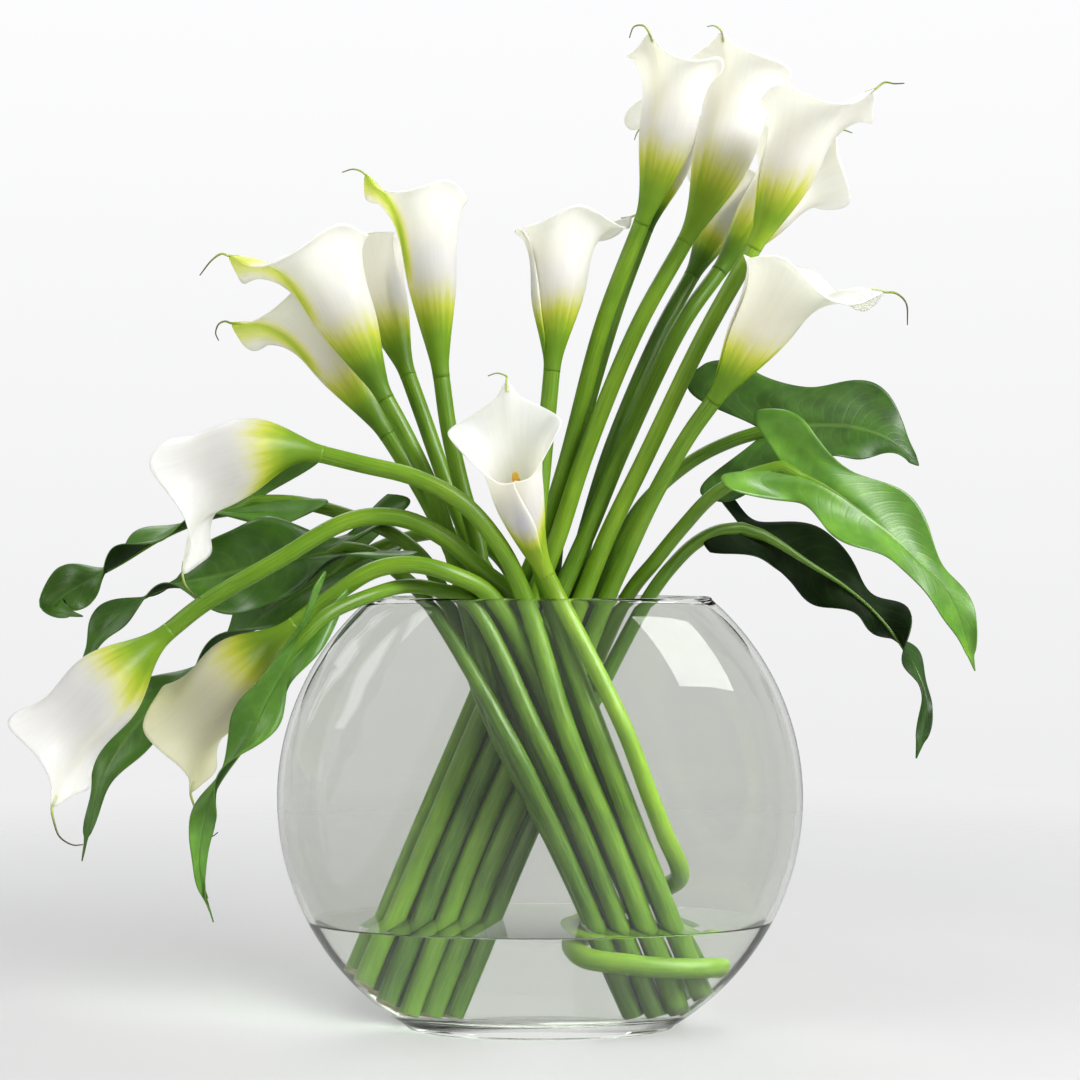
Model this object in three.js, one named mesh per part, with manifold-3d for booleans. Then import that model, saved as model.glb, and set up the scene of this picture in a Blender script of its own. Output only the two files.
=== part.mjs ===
// Calla lilies in a flat round glass vase: sixteen flowers and seven arrow-shaped leaves stand in water,
// in two bundles that cross inside the glass. Millimetres, +Z up, origin at the centre of the vase's base,
// +X to the right of the wide front, +Y towards the back.
import * as THREE from 'three';
import { mergeVertices } from 'three/addons/utils/BufferGeometryUtils.js';
import Module from 'manifold-3d';

const wasm = await Module();
wasm.setup();

// ---------------------------------------------------------------- driving dimensions
const GAP = 0.3;                      // clearance between touching pieces

const VASE_RADIUS = 176;              // radius of the round outline, seen from the front
const VASE_CENTRE_HEIGHT = 153;       // height of that circle's centre
const VASE_HEIGHT = 288;              // height of the cut rim
const VASE_FLATNESS = 0.41;           // depth over width
const GLASS_WALL = 4;
const GLASS_FLOOR = 10;
const VASE_SEAM = 84;                 // height where the glass is divided into its base and two sides
const WATER_LEVEL = 71;
const WATER_INSET = 1.5;              // keeps the faceted water clear of the faceted glass

const STEM_RADIUS = 7;
const PETIOLE_RADIUS = 6;
const STEM_SIDES = 7;
const PETIOLE_SIDES = 6;
const STEM_STEPS = 12;
const ARCH_STEPS = 6;                 // more of them on a stem that arches over the rim

const SPATHE_LENGTH = 118;            // from the top of the stem to the rim
const SPATHE_MOUTH_RADIUS = 38;       // at the tip's side
const SPATHE_LEAN = 0.45;             // how much nearer the middle line the front of the mouth is
const SPATHE_TAPER = 13;              // how much the funnel widens below the flared mouth
const SPATHE_FRONT_DIP = 0.36;        // how much lower the rim is in front
const SPATHE_REACH = 8;               // how far the tip stands out from the mouth
const SPATHE_DROOP = 12;              // how far it curls over
const SPATHE_THICKNESS = 1.6;
const SPATHE_SIDES = 12;
const SPATHE_FLOOR = 0.24;            // where the funnel's hollow starts, as a part of its length
const SPATHE_TAIL = 12;               // thread-like end of the tip

const SPADIX_RADIUS = 3.4;
const SPADIX_TOP = 0.6;

const LEAF_THICKNESS = 1.4;
const LEAF_ROWS = 10;

// ---------------------------------------------------------------- plants
// Every stem starts at its cut foot in the water. Column and row say where it stands in its bundle,
// and path lists where it runs from the vase's mouth upwards. axis is the way the flower comes to
// point, tip the way its pointed lip leans, length and open scale its height and its mouth.
const FLOWERS = [
  { bundle: 'front', column: 3, row: 1, path: [[-17, -14, 288], [-36, -23, 304], [-62, -31, 327],
    [-90, -36, 340], [-122, -42, 339], [-170, -52, 312], [-215, -60, 285], [-236, -64, 268]],
    axis: [-0.5, -0.1, -0.86], tip: [0.4, -0.75, -0.5], length: 1, open: 1 },
  { bundle: 'front', column: 2, row: 1, path: [[-31, -31, 288], [-55, -42, 303], [-80, -46, 310],
    [-106, -47, 307], [-132, -50, 291], [-158, -54, 271]],
    axis: [-0.7, 0.25, -0.67], tip: [0.6, -0.35, -0.7], length: 1, open: 0.95 },
  { bundle: 'front', column: 2, row: 0, path: [[-10, -33, 288], [-26, -42, 322], [-50, -50, 350],
    [-80, -53, 366], [-116, -54, 375], [-140, -55, 381]],
    axis: [-0.93, -0.05, -0.4], tip: [-0.1, -0.3, -0.95], length: 1, open: 0.9 },
  { bundle: 'front', column: 0, row: 1, path: [[-50, -13, 288], [-60, -15, 325], [-72, -17, 360],
    [-88, -20, 394], [-102, -22, 420]],
    axis: [-0.38, -0.12, 0.92], tip: [-0.85, -0.5, -0.1], length: 1.08, open: 1.05 },
  { bundle: 'front', column: 2, row: 2, path: [[-28, 6, 288], [-46, 15, 322], [-62, 20, 360],
    [-80, 28, 410], [-91, 34, 440]],
    axis: [-0.28, 0.3, 0.92], tip: [-0.6, 0.7, 0], length: 1, open: 0.85 },
  { bundle: 'front', column: 1, row: 2, path: [[-47, 2, 288], [-62, 0, 325], [-76, 1, 353],
    [-92, 4, 380], [-103, 7, 397]],
    axis: [-0.55, 0.15, 0.82], tip: [-0.8, -0.5, -0.3], length: 1.05, open: 0.95 },
  { bundle: 'front', column: 1, row: 1, path: [[-36, -9, 288], [-42, -4, 325], [-52, -3, 360],
    [-61, -3, 400], [-66, -4, 436]],
    axis: [-0.04, -0.05, 1], tip: [-0.85, -0.5, 0], length: 1.18, open: 0.88 },
  { bundle: 'front', column: 3, row: 0, path: [[6, -17, 288], [-2, -10, 322], [2, -4, 375],
    [8, -2, 440]],
    axis: [0.04, 0.05, 1], tip: [0.9, 0.3, 0.1], length: 1, open: 0.88 },
  { bundle: 'front', wrap: true, path: [[12, -34, 288], [4, -36, 304]],
    axis: [-0.14, -0.4, 0.9], tip: [0, 0.9, 0.3], length: 1.02, open: 0.95 },
  { bundle: 'back', column: 0, row: 1, path: [[-14, 31, 288], [1, 27, 325], [17, 22, 375],
    [42, 8, 470], [68, -6, 538]],
    axis: [0.08, -0.2, 0.98], tip: [-0.5, -0.85, 0], length: 1.05, open: 0.9 },
  { bundle: 'back', column: 0, row: 0, path: [[-4, 17, 288], [11, 14, 325], [31, 10, 385],
    [66, 10, 470], [98, 12, 528]],
    axis: [0.2, 0.14, 0.97], tip: [-0.5, -0.85, 0], length: 1.2, open: 0.85 },
  { bundle: 'back', column: 2, row: 0, path: [[29, 16, 288], [46, 10, 330], [70, 2, 380],
    [108, -16, 460], [140, -32, 518]],
    axis: [0.2, -0.1, 0.97], tip: [0.75, -0.65, 0.2], length: 0.98, open: 1 },
  { bundle: 'back', column: 1, row: 0, path: [[13, 16, 288], [34, 18, 335], [57, 22, 390],
    [98, 30, 475], [124, 38, 512]],
    axis: [0.62, 0.1, 0.76], tip: [0.3, -0.9, 0.2], length: 0.95, open: 1 },
  { bundle: 'back', column: 2, row: 1, path: [[21, 32, 288], [33, 37, 335], [50, 46, 390],
    [84, 64, 470], [108, 76, 514]],
    axis: [0.4, 0.3, 0.86], tip: [-0.3, 0.9, 0], length: 0.85, open: 0.75 },
  { bundle: 'back', column: 3, row: 0, path: [[46, 15, 288], [60, 8, 320], [76, -3, 355],
    [98, -20, 395], [114, -32, 418]],
    axis: [0.44, -0.2, 0.88], tip: [0.9, -0.35, -0.2], length: 0.98, open: 1 },
  { bundle: 'back', column: 1, row: 1, path: [[5, 34, 288], [12, 45, 335], [26, 50, 395],
    [52, 56, 485], [74, 60, 545]],
    axis: [0.3, 0.35, 0.88], tip: [-0.6, 0.7, 0], length: 0.85, open: 0.75 },
];

// A leaf's petiole runs like a flower's stem. blade lists its midrib from there to the tip, face the
// way its upper side looks at the base and at the tip, and width is half its widest.
const LEAVES = [
  { bundle: 'front', column: 0, row: 2, path: [[-64, 1, 288], [-78, 10, 312], [-100, 20, 330],
    [-135, 30, 344], [-168, 38, 352], [-198, 42, 353]],
    blade: [[-226, 42, 345], [-258, 40, 331], [-290, 34, 310], [-318, 26, 293], [-331, 14, 280],
      [-306, -2, 275]],
    face: [[0.1, -0.55, 0.83], [-0.5, -0.5, 0.7]], width: 23 },
  { bundle: 'front', column: 0, row: 0, path: [[-77, -13, 288], [-94, -10, 304], [-112, -5, 317],
    [-130, 0, 321]],
    blade: [[-167, 0, 313], [-213, -6, 303], [-256, -10, 292], [-286, -14, 270], [-304, -18, 241]],
    face: [[0.1, -0.7, 0.7], [-0.3, -0.75, 0.5]], width: 30 },
  { bundle: 'front', column: 3, row: 2, path: [[-12, 2, 288], [-24, 20, 310], [-42, 35, 325],
    [-70, 46, 331], [-104, 50, 324], [-130, 52, 312]],
    blade: [[-173, 54, 287], [-221, 50, 250], [-266, 38, 212], [-296, 20, 168], [-308, 4, 110]],
    face: [[-0.3, -0.5, 0.8], [-0.5, -0.8, 0.2]], width: 26 },
  { bundle: 'front', column: 1, row: 0, path: [[-47, -29, 286], [-66, -27, 293], [-86, -31, 296],
    [-110, -54, 290], [-134, -72, 279], [-152, -82, 264]],
    blade: [[-167, -87, 240], [-186, -89, 202], [-206, -86, 166], [-214, -80, 124], [-208, -74, 88]],
    face: [[0.75, -0.55, 0.35], [-0.75, -0.65, 0.1]], width: 17 },
  { bundle: 'back', column: 3, row: 1, path: [[38, 31, 288], [55, 32, 325], [72, 31, 352],
    [104, 26, 380], [132, 22, 394], [148, 20, 398]],
    blade: [[176, 16, 404], [208, 10, 404], [234, 4, 396], [254, 0, 378]],
    face: [[-0.1, -0.88, 0.45], [0.2, -0.8, 0.55]], width: 38 },
  { bundle: 'back', column: 4, row: 1, path: [[60, 24, 288], [78, 12, 312], [96, 0, 335],
    [114, -12, 355], [132, -22, 366]],
    blade: [[164, -34, 368], [204, -40, 352], [243, -38, 326], [271, -32, 292], [286, -24, 240]],
    face: [[-0.15, -0.8, 0.55], [0.5, -0.8, 0.3]], width: 31 },
  { bundle: 'back', column: 4, row: 0, path: [[74, 10, 288], [90, 14, 309], [106, 20, 324],
    [122, 26, 332], [138, 30, 334]],
    blade: [[171, 36, 319], [212, 36, 292], [246, 30, 258], [263, 22, 217], [255, 14, 178]],
    face: [[-0.3, 0.85, -0.35], [0.7, -0.6, 0.3]], width: 21 },
];

// The wrapped flower's stem dives behind the front bundle and winds once round its foot to its cut end.
const WRAPPING_STEM = [[116, -8, 46], [110, -21, 47], [96, -29, 48], [76, -36, 50], [54, -37, 53],
  [31, -31, 56], [22, -10, 60], [22, 12, 64], [38, 27, 69], [60, 30, 77], [82, 28, 87], [93, 8, 98],
  [91, -14, 112], [82, -30, 132], [71, -38, 160], [56, -43, 200], [41, -41, 232]];

// ---------------------------------------------------------------- materials
function finish(color, roughness, metalness = 0) {
  return new THREE.MeshStandardMaterial({ color, roughness, metalness });
}

function glassMaterial() {
  const glass = finish(0xe9efee, 0.04);
  glass.transparent = true;
  glass.opacity = 0.3;
  return glass;
}

function waterMaterial() {
  const water = finish(0xdfe9e4, 0.02);
  water.transparent = true;
  water.opacity = 0.4;
  return water;
}

const stemMaterial = () => finish(0x5e9a2b, 0.42);
const leafMaterial = () => finish(0x3f7f28, 0.38);
const spatheMaterial = () => finish(0xf4f2e2, 0.5);
const spadixMaterial = () => finish(0xf2cf3a, 0.75);

// ---------------------------------------------------------------- shape helpers
const vec = ([x, y, z]) => new THREE.Vector3(x, y, z);
const curveThrough = (points) => new THREE.CatmullRomCurve3(points.map(vec));

// Closed skin over rings of equally many points, capped by one point at each end.
function skinRings(rings, startPoint, endPoint) {
  const sides = rings[0].length;
  const positions = [startPoint, ...rings.flat(), endPoint].flatMap((p) => [p.x, p.y, p.z]);
  const at = (ring, side) => 1 + ring * sides + (side % sides);
  const last = 1 + rings.length * sides;
  const index = [];
  for (let side = 0; side < sides; side++) {
    index.push(0, at(0, side + 1), at(0, side));
    index.push(last, at(rings.length - 1, side), at(rings.length - 1, side + 1));
    for (let ring = 0; ring < rings.length - 1; ring++) {
      index.push(at(ring, side), at(ring, side + 1), at(ring + 1, side));
      index.push(at(ring, side + 1), at(ring + 1, side + 1), at(ring + 1, side));
    }
  }
  const geometry = new THREE.BufferGeometry();
  geometry.setAttribute('position', new THREE.Float32BufferAttribute(positions, 3));
  geometry.setIndex(index);
  return geometry;
}

function toManifold(geometry) {
  const bare = geometry.clone();
  bare.deleteAttribute('normal');
  bare.deleteAttribute('uv');
  const merged = mergeVertices(bare, 1e-4);
  return new wasm.Manifold(new wasm.Mesh({
    numProp: 3,
    vertProperties: new Float32Array(merged.attributes.position.array),
    triVerts: new Uint32Array(merged.index.array),
  }));
}

function fromManifold(solid) {
  const mesh = solid.getMesh();
  const geometry = new THREE.BufferGeometry();
  geometry.setAttribute('position', new THREE.Float32BufferAttribute(mesh.vertProperties, 3));
  geometry.setIndex(Array.from(mesh.triVerts));
  return geometry;
}

function tubeAlong(curve, radius, steps = STEM_STEPS, sides = STEM_SIDES) {
  const section = new THREE.Shape(Array.from({ length: sides }, (_, side) => {
    const angle = (side / sides) * Math.PI * 2;
    return new THREE.Vector2(radius * Math.cos(angle), radius * Math.sin(angle));
  }));
  return new THREE.ExtrudeGeometry(section, { steps, extrudePath: curve, bevelEnabled: false });
}

// ---------------------------------------------------------------- vase and water
// The round outline is a circle cut at the base and the rim; its depth is a flattened copy.
const outerHalfWidth = (z) => Math.sqrt(VASE_RADIUS ** 2 - (z - VASE_CENTRE_HEIGHT) ** 2);
const innerHalfWidth = (z) => Math.sqrt((VASE_RADIUS - GLASS_WALL) ** 2 - (z - VASE_CENTRE_HEIGHT) ** 2);
const outerHalfDepth = (z) => VASE_FLATNESS * outerHalfWidth(z);
const innerHalfDepth = (z) => outerHalfDepth(z) - GLASS_WALL;

function ellipseRing(halfWidth, halfDepth, z, sides) {
  return Array.from({ length: sides }, (_, side) => {
    const angle = (side / sides) * Math.PI * 2;
    return new THREE.Vector3(halfWidth * Math.cos(angle), halfDepth * Math.sin(angle), z);
  });
}

// Heights spaced evenly along the circle's arc between two heights.
function arcHeights(from, to, radius, count) {
  const start = Math.asin((from - VASE_CENTRE_HEIGHT) / radius);
  const end = Math.asin((to - VASE_CENTRE_HEIGHT) / radius);
  return Array.from({ length: count + 1 }, (_, i) =>
    VASE_CENTRE_HEIGHT + radius * Math.sin(start + ((end - start) * i) / count));
}

function vaseGeometry(sides = 32, bands = 11) {
  const outer = arcHeights(0, VASE_HEIGHT, VASE_RADIUS, bands)
    .map((z) => ellipseRing(outerHalfWidth(z), outerHalfDepth(z), z, sides));
  const inner = arcHeights(VASE_HEIGHT, GLASS_FLOOR, VASE_RADIUS - GLASS_WALL, bands)
    .map((z) => ellipseRing(innerHalfWidth(z), innerHalfDepth(z), z, sides));
  return skinRings([...outer, ...inner], new THREE.Vector3(), new THREE.Vector3(0, 0, GLASS_FLOOR));
}

// The one glass body as three closed solids: its base, and its front and back sides above that.
function vaseParts() {
  const whole = toManifold(vaseGeometry());
  const sides = whole.trimByPlane([0, 0, 1], VASE_SEAM + GAP / 2);
  return {
    vase_base: fromManifold(whole.trimByPlane([0, 0, -1], GAP / 2 - VASE_SEAM)),
    vase_front: fromManifold(sides.trimByPlane([0, -1, 0], GAP / 2)),
    vase_back: fromManifold(sides.trimByPlane([0, 1, 0], GAP / 2)),
  };
}

function waterGeometry(hollows, sides = 32, bands = 5) {
  const floor = GLASS_FLOOR + GAP;
  const rings = arcHeights(floor, WATER_LEVEL, VASE_RADIUS - GLASS_WALL, bands)
    .map((z) => ellipseRing(innerHalfWidth(z) - WATER_INSET, innerHalfDepth(z) - WATER_INSET, z, sides));
  const body = skinRings(rings, new THREE.Vector3(0, 0, floor), new THREE.Vector3(0, 0, WATER_LEVEL));
  const cut = hollows.reduce((rest, hollow) => rest.subtract(toManifold(hollow)), toManifold(body));
  const pieces = cut.decompose().sort((a, b) => b.volume() - a.volume());
  return fromManifold(pieces[0]);
}

// ---------------------------------------------------------------- stems
// Lowest height at which a stem's cut end clears the curved glass at (x, y).
function footHeight(x, y) {
  const clear = STEM_RADIUS + 1.5;
  const across = (x / (VASE_RADIUS - GLASS_WALL - clear)) ** 2;
  const deep = (y / (VASE_FLATNESS * VASE_RADIUS - GLASS_WALL - clear)) ** 2;
  const wall = VASE_CENTRE_HEIGHT - (VASE_RADIUS - GLASS_WALL - clear) * Math.sqrt(1 - across - deep);
  return Math.max(wall, GLASS_FLOOR + 5);
}

// Where a stem stands in its bundle at the foot, low in the vase and at the bundles' crossing.
function bundlePoints({ bundle, column, row }) {
  if (bundle === 'front') {
    const x = 60 + 14.5 * column;
    const y = -16 + 2 * column + 15 * row;
    return [[x, y, footHeight(x, y)],
      [12 + 17.5 * column - 3 * row, -29 + 16 * row, 130],
      [-22 + 20 * column - 4 * row, -35 + 18.5 * row, 200]];
  }
  const x = -113 + 14.5 * column - 3 * row;
  const y = -2 + 15 * row;
  return [[x, y, footHeight(x, y)],
    [-72 + 16.5 * column - 8 * row, 15 + 16 * row, 130],
    [-42 + 17.5 * column - 8 * row, 19 + 16 * row, 200]];
}

function stemPoints(plant) {
  const lower = plant.wrap ? WRAPPING_STEM : bundlePoints(plant);
  return [...lower, ...plant.path];
}

const stemSteps = (plant) => (plant.wrap ? 40 : STEM_STEPS + (plant.path.length > 5 ? ARCH_STEPS : 0));
const stemCurve = (plant) => curveThrough(stemPoints(plant));

function stemGeometry(flower) {
  return tubeAlong(stemCurve(flower), STEM_RADIUS, stemSteps(flower));
}

// What a stem takes out of the water: the stem with the clearance all round it and below its foot.
function hollowGeometry(plant, radius, sides) {
  const curve = stemCurve(plant);
  const hollow = tubeAlong(curve, radius + GAP, stemSteps(plant), sides);
  const foot = curve.getPoint(0);
  const push = curve.getTangent(0).multiplyScalar(-GAP);
  const position = hollow.attributes.position;
  const point = new THREE.Vector3();
  for (let i = 0; i < position.count; i++) {
    point.fromBufferAttribute(position, i);
    if (point.distanceTo(foot) < radius + 2 * GAP) position.setXYZ(i, ...point.add(push).toArray());
  }
  return hollow;
}

// ---------------------------------------------------------------- flowers
// The line up the middle of a flower: it leaves the stem straight and turns towards the flower's axis.
function flowerLine(flower) {
  const height = SPATHE_LENGTH * flower.length;
  const turn = stemCurve(flower).getTangent(1).multiplyScalar(0.4 * height);
  const end = vec(flower.axis).setLength(0.6 * height).add(turn);
  return new THREE.QuadraticBezierCurve3(new THREE.Vector3(), turn, end);
}

// Moves a point of the straight flower, z up its middle and x towards its tip, onto its bent line.
function bendOnto(line, flower, { x, y, z }) {
  const height = SPATHE_LENGTH * flower.length;
  const part = THREE.MathUtils.clamp(z / height, 0, 1);
  const up = line.getTangentAt(part);
  const side = new THREE.Vector3().crossVectors(up, vec(flower.tip)).normalize();
  const lean = new THREE.Vector3().crossVectors(side, up);
  const beyond = z - part * height;
  return line.getPointAt(part).addScaledVector(lean, x).addScaledVector(side, y).addScaledVector(up, beyond);
}

function bendGeometry(geometry, flower) {
  const line = flowerLine(flower);
  const position = geometry.attributes.position;
  const point = new THREE.Vector3();
  for (let i = 0; i < position.count; i++) {
    point.fromBufferAttribute(position, i);
    position.setXYZ(i, ...bendOnto(line, flower, point).toArray());
  }
  return geometry;
}

// Point on the middle of the spathe: part 0 at the stem and 1 at the rim, angle 0 at the pointed tip.
// The mouth leans to the tip, its front edge dips, and the tip curls over and ends in a thread.
function spathePoint(flower, part, angle) {
  const tipward = (1 + Math.cos(angle)) / 2;
  const mouth = SPATHE_MOUTH_RADIUS * flower.open * (1 - SPATHE_LEAN * (1 - tipward));
  const radius = STEM_RADIUS + SPATHE_TAPER * part + (mouth - STEM_RADIUS - SPATHE_TAPER) * part ** 6;
  const point = tipward ** 6 * part ** 6;
  const dip = 1 - SPATHE_FRONT_DIP * (1 - tipward) ** 3;
  const z = SPATHE_LENGTH * flower.length * part * dip - SPATHE_DROOP * point + GAP;
  const x = radius * Math.cos(angle) + (SPATHE_REACH + SPATHE_TAIL) * point;
  return new THREE.Vector3(x, radius * Math.sin(angle), z);
}

function spatheNormal(flower, part, angle) {
  const step = 1e-3;
  const along = spathePoint(flower, part + step, angle).sub(spathePoint(flower, part - step, angle));
  const round = spathePoint(flower, part, angle + step).sub(spathePoint(flower, part, angle - step));
  return round.cross(along).normalize();
}

function spatheGeometry(flower) {
  const ring = (part, side) => Array.from({ length: SPATHE_SIDES }, (_, i) => {
    const angle = (i / SPATHE_SIDES) * Math.PI * 2;
    const offset = spatheNormal(flower, part, angle).multiplyScalar(side * SPATHE_THICKNESS / 2);
    return spathePoint(flower, part, angle).add(part > 0 ? offset : offset.setZ(0));
  });
  const outer = [0, 0.25, 0.5, 0.7, 0.84, 0.93, 1].map((part) => ring(part, 1));
  const inner = [1, 0.86, 0.68, 0.46, SPATHE_FLOOR].map((part) => ring(part, -1));
  const hollowFloor = new THREE.Vector3(0, 0, spathePoint(flower, SPATHE_FLOOR, Math.PI).z);
  return skinRings([...outer, ...inner], new THREE.Vector3(0, 0, GAP), hollowFloor);
}

function spadixGeometry(flower) {
  const bottom = SPATHE_LENGTH * flower.length * SPATHE_FLOOR + 2;
  const top = SPATHE_LENGTH * flower.length * SPADIX_TOP;
  const profile = [[0, bottom], [SPADIX_RADIUS * 0.8, bottom], [SPADIX_RADIUS, bottom + 10],
    [SPADIX_RADIUS * 0.8, top - 8], [0, top]].map(([r, z]) => new THREE.Vector2(r, z));
  return new THREE.LatheGeometry(profile, 7).rotateX(Math.PI / 2);
}

// ---------------------------------------------------------------- leaves
// Half-width of the blade along its length: widest just past the two lobes, then drawn out to the tip.
const bladeOutline = (part) => Math.min(1, 0.72 + 2.2 * part) * (1 - part ** 2.1) ** 0.9;

function bladePoint(leaf, curve, part, across) {
  const lobe = 0.2 * across ** 2 * (1 - part) ** 3;
  const along = part - lobe;
  const middle = along >= 0 ? curve.getPoint(along)
    : curve.getPoint(0).addScaledVector(curve.getTangent(0), along * curve.getLength());
  const tangent = curve.getTangent(Math.max(0, along));
  const face = vec(leaf.face[0]).lerp(vec(leaf.face[1]), part);
  const side = new THREE.Vector3().crossVectors(tangent, face).normalize();
  const normal = new THREE.Vector3().crossVectors(side, tangent);
  const halfWidth = leaf.width * bladeOutline(part);
  const cup = 0.28 * halfWidth * across ** 2;
  const wave = 5 * across ** 2 * Math.sin(15 * part + 2 * Math.sign(across)) * Math.sin(Math.PI * part);
  return { point: middle.addScaledVector(side, halfWidth * across).addScaledVector(normal, cup + wave), normal };
}

function bladeGeometry(leaf) {
  const last = leaf.path[leaf.path.length - 1];
  const curve = curveThrough([last, ...leaf.blade]);
  const acrossTop = [-1, -0.5, 0, 0.5, 1];
  const rings = [];
  for (let row = 0; row <= LEAF_ROWS; row++) {
    const part = 0.02 + (0.96 * row) / LEAF_ROWS;
    const top = acrossTop.map((across) => bladePoint(leaf, curve, part, across));
    const lift = ({ point, normal }, amount) => point.clone().addScaledVector(normal, amount);
    const upper = top.map((place, i) => lift(place, (i % 4 === 0 ? 0.25 : 0.5) * LEAF_THICKNESS));
    const lower = top.map((place, i) => lift(place, -(i % 4 === 0 ? 0.25 : 0.5) * LEAF_THICKNESS));
    rings.push([...upper, ...lower.reverse()]);
  }
  const middleOf = (ring) => ring.reduce((sum, p) => sum.add(p), new THREE.Vector3()).divideScalar(ring.length);
  return skinRings(rings, middleOf(rings[0]), middleOf(rings[LEAF_ROWS]));
}

function leafGeometry(leaf) {
  const petiole = tubeAlong(stemCurve(leaf), PETIOLE_RADIUS, stemSteps(leaf), PETIOLE_SIDES);
  return fromManifold(toManifold(petiole).add(toManifold(bladeGeometry(leaf))));
}

// ---------------------------------------------------------------- assembly
const bouquet = new THREE.Group();

function addNode(name, geometry, material, parent = bouquet) {
  const mesh = new THREE.Mesh(geometry, material);
  mesh.name = name;
  parent.add(mesh);
  return mesh;
}

const twoDigits = (index) => String(index + 1).padStart(2, '0');

FLOWERS.forEach((flower, index) => {
  addNode(`stem_${twoDigits(index)}`, stemGeometry(flower), stemMaterial());
  const head = new THREE.Group();
  head.position.copy(vec(flower.path[flower.path.length - 1]));
  bouquet.add(head);
  addNode(`spathe_${twoDigits(index)}`, bendGeometry(spatheGeometry(flower), flower), spatheMaterial(), head);
  addNode(`spadix_${twoDigits(index)}`, bendGeometry(spadixGeometry(flower), flower), spadixMaterial(), head);
});

LEAVES.forEach((leaf, index) => addNode(`leaf_${twoDigits(index)}`, leafGeometry(leaf), leafMaterial()));

const hollows = [
  ...FLOWERS.map((flower) => hollowGeometry(flower, STEM_RADIUS, STEM_SIDES)),
  ...LEAVES.map((leaf) => hollowGeometry(leaf, PETIOLE_RADIUS, PETIOLE_SIDES)),
];
Object.entries(vaseParts()).forEach(([name, geometry]) => addNode(name, geometry, glassMaterial()));
addNode('water', waterGeometry(hollows), waterMaterial());

export default bouquet;
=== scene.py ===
"""Calla lilies in a flat round glass vase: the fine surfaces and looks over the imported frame.

Lengths in the tables and helpers are millimetres; new_piece() turns them into metres.
"""

import math

import bpy
import numpy as np
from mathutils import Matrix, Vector


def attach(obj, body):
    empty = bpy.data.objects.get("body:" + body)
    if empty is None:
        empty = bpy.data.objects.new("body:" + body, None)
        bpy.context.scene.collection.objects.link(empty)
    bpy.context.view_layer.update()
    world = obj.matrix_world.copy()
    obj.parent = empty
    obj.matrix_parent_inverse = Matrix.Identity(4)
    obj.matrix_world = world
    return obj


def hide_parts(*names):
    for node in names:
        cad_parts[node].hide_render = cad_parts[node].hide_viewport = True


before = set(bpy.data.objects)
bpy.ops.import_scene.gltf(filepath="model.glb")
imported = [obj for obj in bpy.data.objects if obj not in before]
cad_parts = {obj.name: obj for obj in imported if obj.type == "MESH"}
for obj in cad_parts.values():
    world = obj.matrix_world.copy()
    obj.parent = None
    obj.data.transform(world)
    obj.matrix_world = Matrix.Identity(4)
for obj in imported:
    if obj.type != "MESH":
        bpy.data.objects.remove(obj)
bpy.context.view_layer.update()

# ---------------------------------------------------------------- dimensions
MM = 0.001

VASE_RADIUS = 176.0                   # of the circle that its outline follows, seen from the front
VASE_CENTRE = 153.0                   # the height of that circle's centre
VASE_HEIGHT = 288.0
VASE_FLATNESS = 0.41                  # its depth over its width
VASE_SIDES = 144
GLASS_WALL = 4.0
GLASS_FLOOR = 10.0
FOOT_EDGE = 1.6                       # the rounding under the foot: its height, and how far in
FOOT_INSETS = (2.56, 1.92)            # it reaches along the width and the depth
INNER_CORNER = 8.0                    # the rounding inside, between wall and floor, and its rise
INNER_CORNER_RISE = 3.0

WATER_LEVEL = 71.0
WATER_CLIMB = 1.4                     # how far the water climbs the glass
WATER_INTO_GLASS = 0.5
MENISCUS = [(0.9, 0.9), (1.6, 0.45), (2.8, 0.15), (5.0, 0.0)]     # away from the glass, and rise

STEM_FOOT_RADIUS = 7.0
STEM_NECK_RADIUS = 5.6
STEM_TO_GLASS = 1.5                   # the gap between a stem's foot and the wall
STEM_TO_FLOOR = 5.0
STEM_STEPS = 110
WOUND_STEM_STEPS = 220
PETIOLE_FOOT_RADIUS = 6.0
PETIOLE_TOP_RADIUS = 4.6
RIB_TIP_RADIUS = 0.8

SPATHE_LENGTH = 118.0
SPATHE_THICKNESS = 0.9
SPATHE_INSET = 0.35                   # how far its base lies within the stem's neck
SPATHE_SEAT = 1.5                     # and how far below the stem's end it starts
FUNNEL_SLOPE = 13.0                   # how it widens from its base, in degrees from upright
FUNNEL_EASE = 5.0                     # and how much less it does higher up
RIM_HEIGHT = 0.97                     # where the rim's sides end, as a part of the flower's length
MARGIN_OVERLAP = 0.5                  # how far the two margins lie over each other, in radians
MARGIN_LIFT = 0.07                    # how far the spiral lifts one margin off the other
RIM_RIPPLE = 0.04
TAIL_RADIUS = 1.1
TAIL_TAPER = 0.75
LEAF_THICKNESS = 0.9
LEAF_CUP = 0.22                       # how far a leaf's sides rise, as a part of its width
MIDRIB_CREASE = 1.2

SPADIX_START = 0.24                   # its two ends, as parts of the flower's length
SPADIX_END = 0.62
SPADIX_RADIUS = 3.6
FLORET_HEIGHT = 0.28

SKY_SHADES = [(0.1, 0.82), (0.5, 0.90), (0.93, 0.98)]             # from low to high, and how light
SKY_ON_PLANTS = 0.4                   # how bright the surroundings are as light on the plants
SKY_IN_REFLECTIONS = 0.16             # and as they are mirrored in glass, water and leaves
FLOOR_SINK = 0.3                      # keeps the floor clear of the vase's foot
FLOOR_RINGS = (1, 300, 900, 2700)
FLOOR_FADE = (0.25, 1.4)              # in metres from its middle


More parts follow.
